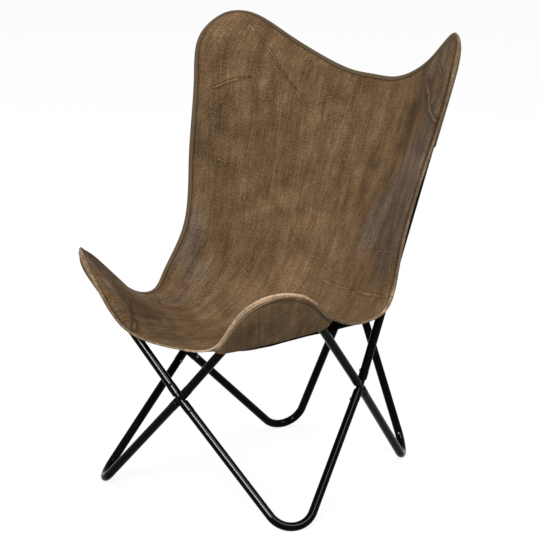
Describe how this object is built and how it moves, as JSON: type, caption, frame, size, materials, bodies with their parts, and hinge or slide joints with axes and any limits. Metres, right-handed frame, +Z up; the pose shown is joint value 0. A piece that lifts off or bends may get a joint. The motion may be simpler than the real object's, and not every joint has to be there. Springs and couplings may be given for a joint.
{
  "type": "butterfly sling chair",
  "caption": "Low lounge chair: a brown cloth sling with corner pockets hangs on a frame of bent steel tubes that cross at the front, back and sides.",
  "frame": {"origin": "on the floor, in the middle of the chair's width and depth", "axes": "+Z up, +X to the right in a view from the front, the sitter faces -Y"},
  "size_m": [0.7198, 0.758, 1.013],
  "materials": {
    "frame_paint": "gloss black enamel",
    "screw_steel": "dull plated steel",
    "sling_cloth": "waxed brown canvas, worn and blotchy",
    "edge_tape": "folded brown binding, worn pale on its ridges"
  },
  "bodies": {
    "root": {"crossing_back": "frame_paint", "crossing_front": "frame_paint", "crossing_left": "frame_paint", "crossing_right": "frame_paint", "edge_binding_front": "edge_tape", "edge_binding_left": "edge_tape", "edge_binding_right": "edge_tape", "edge_binding_top": "edge_tape", "foot_tube_back_left": "frame_paint", "foot_tube_back_right": "frame_paint", "foot_tube_front_left": "frame_paint", "foot_tube_front_right": "frame_paint", "pocket_back_left": "sling_cloth", "pocket_back_right": "sling_cloth", "pocket_front_left": "sling_cloth", "pocket_front_right": "sling_cloth", "screw_back_foot_back_left": "screw_steel", "screw_back_foot_back_right": "screw_steel", "screw_back_wing_back_left": "screw_steel", "screw_back_wing_back_right": "screw_steel", "screw_front_foot_front_left": "screw_steel", "screw_front_foot_front_right": "screw_steel", "screw_front_wing_front_left": "screw_steel", "screw_front_wing_front_right": "screw_steel", "screw_left_foot_back_left": "screw_steel", "screw_left_foot_front_left": "screw_steel", "screw_left_wing_back_left": "screw_steel", "screw_left_wing_front_left": "screw_steel", "screw_right_foot_back_right": "screw_steel", "screw_right_foot_front_right": "screw_steel", "screw_right_wing_back_right": "screw_steel", "screw_right_wing_front_right": "screw_steel", "sling_panel": "sling_cloth", "wing_tube_back_left": "frame_paint", "wing_tube_back_right": "frame_paint", "wing_tube_front_left": "frame_paint", "wing_tube_front_right": "frame_paint"}
  },
  "joints": []
}
